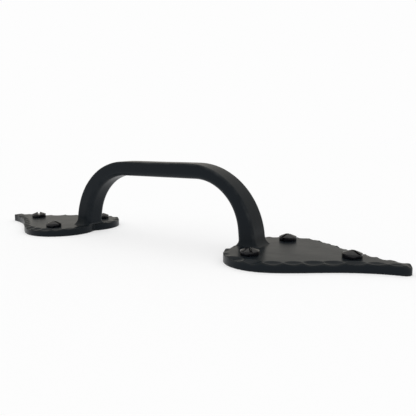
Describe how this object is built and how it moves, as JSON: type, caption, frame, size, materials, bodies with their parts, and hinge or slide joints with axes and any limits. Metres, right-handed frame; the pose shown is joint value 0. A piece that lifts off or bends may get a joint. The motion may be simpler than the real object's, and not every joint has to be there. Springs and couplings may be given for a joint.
{
  "type": "door pull",
  "caption": "Forged door pull: a bent flat-bar grip tenoned into hammered heart-shaped plates, screwed to a door with slotted wood screws.",
  "frame": {"origin": "middle of the pull on the door's face, midway between the four screws beside the grip", "axes": "+Z straight out from the door, +X along the pull towards the upper plate's tip, +Y across the pull"},
  "size_m": [0.2858, 0.0672, 0.0739],
  "materials": {
    "black_iron": "satin black powder coat over forged iron",
    "black_iron_plate": "satin black powder coat over hammered iron plate",
    "blackened_screw_steel": "black oxide and oil on hammered steel"
  },
  "bodies": {
    "pull": {"grip_bar": "black_iron", "upper_heart_plate": "black_iron_plate", "lower_heart_plate": "black_iron_plate"},
    "upper_tip_screw": {"upper_tip_screw": "blackened_screw_steel"},
    "upper_right_lobe_screw": {"upper_right_lobe_screw": "blackened_screw_steel"},
    "upper_left_lobe_screw": {"upper_left_lobe_screw": "blackened_screw_steel"},
    "lower_tip_screw": {"lower_tip_screw": "blackened_screw_steel"},
    "lower_right_lobe_screw": {"lower_right_lobe_screw": "blackened_screw_steel"},
    "lower_left_lobe_screw": {"lower_left_lobe_screw": "blackened_screw_steel"}
  },
  "joints": [
    {"name": "upper_tip_screw_turn", "type": "hinge", "parent": "pull", "child": "upper_tip_screw", "pos_m": [0.1159, 0, 0.0048], "axis": [0, 0, 1], "continuous": true},
    {"name": "upper_right_lobe_screw_turn", "type": "hinge", "parent": "pull", "child": "upper_right_lobe_screw", "pos_m": [0.0728, -0.021, 0.0048], "axis": [0, 0, 1], "continuous": true},
    {"name": "upper_left_lobe_screw_turn", "type": "hinge", "parent": "pull", "child": "upper_left_lobe_screw", "pos_m": [0.0728, 0.021, 0.0048], "axis": [0, 0, 1], "continuous": true},
    {"name": "lower_tip_screw_turn", "type": "hinge", "parent": "pull", "child": "lower_tip_screw", "pos_m": [-0.1159, 0, 0.0048], "axis": [0, 0, 1], "continuous": true},
    {"name": "lower_right_lobe_screw_turn", "type": "hinge", "parent": "pull", "child": "lower_right_lobe_screw", "pos_m": [-0.0728, 0.021, 0.0048], "axis": [0, 0, 1], "continuous": true},
    {"name": "lower_left_lobe_screw_turn", "type": "hinge", "parent": "pull", "child": "lower_left_lobe_screw", "pos_m": [-0.0728, -0.021, 0.0048], "axis": [0, 0, 1], "continuous": true}
  ]
}
